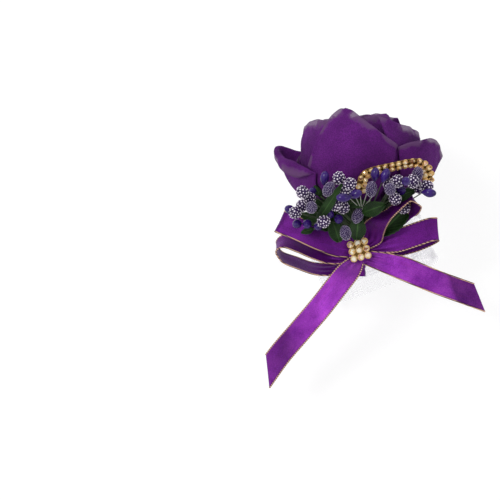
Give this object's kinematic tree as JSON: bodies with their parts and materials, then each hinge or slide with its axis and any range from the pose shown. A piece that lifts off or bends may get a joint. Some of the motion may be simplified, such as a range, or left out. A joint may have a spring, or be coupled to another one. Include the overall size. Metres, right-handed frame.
{
  "type": "wrist corsage",
  "caption": "Wrist corsage: a cloth rose with berry sprays, leaves, a rhinestone arch and a satin bow on a frilled elastic wristlet",
  "frame": {"origin": "middle of the wristlet's opening, halfway along its width", "axes": "+Y runs along the arm through the opening, +Z points out of the back of the wrist through the flower, +X runs across the wrist"},
  "size_m": [0.1096, 0.1051, 0.0995],
  "materials": {
    "petal_cloth": "matte woven cloth with a sheer rim",
    "satin_ribbon": "satin with a metallic thread edge",
    "leaf_cloth": "stiffened waxed cloth",
    "pip_smooth": "glossy moulded bead",
    "pip_dotted": "glossy bead with pale raised dots",
    "pip_frosted": "bead frosted with fine grains",
    "rhinestone_gold": "pale faceted stones in bright gold cups on a tape",
    "sheer_elastic": "smocked sheer elastic",
    "sheer_frill": "sheer gathered organza",
    "felt_pad": "felt",
    "floral_tape": "waxed paper floral tape",
    "calyx_plastic": "moulded"
  },
  "bodies": {
    "root": {"wristlet_elastic": "sheer_elastic", "wristlet_frill_front": "sheer_frill", "wristlet_frill_back": "sheer_frill", "wedge_pad": "felt_pad", "stem": "floral_tape", "stem_ribbon_wrap": "satin_ribbon", "bow_knot": "satin_ribbon", "rhinestone_patch": "rhinestone_gold", "rhinestone_arch": "rhinestone_gold", "rose_core": "petal_cloth", "rose_calyx": "calyx_plastic", "rose_petal_inner_1": "petal_cloth", "rose_petal_inner_2": "petal_cloth", "rose_petal_inner_3": "petal_cloth", "rose_petal_middle_1": "petal_cloth", "rose_petal_middle_2": "petal_cloth", "rose_petal_middle_3": "petal_cloth", "rose_petal_front": "petal_cloth", "rose_petal_left": "petal_cloth", "rose_petal_right": "petal_cloth", "rose_petal_back": "petal_cloth", "rose_petal_outer_left": "petal_cloth", "rose_petal_outer_right": "petal_cloth", "rose_petal_outer_back_left": "petal_cloth", "rose_petal_outer_back_right": "petal_cloth", "pips_smooth_left": "pip_smooth", "pips_smooth_inner_left": "pip_smooth", "pips_smooth_right": "pip_smooth", "pips_dotted_left": "pip_dotted", "pips_dotted_middle": "pip_dotted", "pips_dotted_right": "pip_dotted", "pips_frosted_left": "pip_frosted", "pips_frosted_right": "pip_frosted", "pips_dotted_outer_right": "pip_dotted", "pips_smooth_outer_right": "pip_smooth", "pips_smooth_middle": "pip_smooth", "pips_dotted_low_right": "pip_dotted", "pips_smooth_low": "pip_smooth", "pips_dotted_low": "pip_dotted", "pip_frosted_low": "pip_frosted", "pip_frosted_centre": "pip_frosted", "leaf_long": "leaf_cloth", "leaf_left_small": "leaf_cloth", "leaf_left_low": "leaf_cloth", "leaf_oval_low": "leaf_cloth", "leaf_centre": "leaf_cloth", "leaf_dark": "leaf_cloth", "leaf_right_oval": "leaf_cloth", "leaf_right_back": "leaf_cloth", "leaf_in_loop": "leaf_cloth", "leaf_under_left": "leaf_cloth", "leaf_under_middle": "leaf_cloth", "leaf_under_right": "leaf_cloth", "bow_loop_upper_left": "satin_ribbon", "bow_loop_lower_left": "satin_ribbon", "bow_loop_upper_right": "satin_ribbon", "bow_loop_lower_right": "satin_ribbon", "ribbon_tail_right": "satin_ribbon", "ribbon_tail_left": "satin_ribbon"}
  },
  "joints": []
}
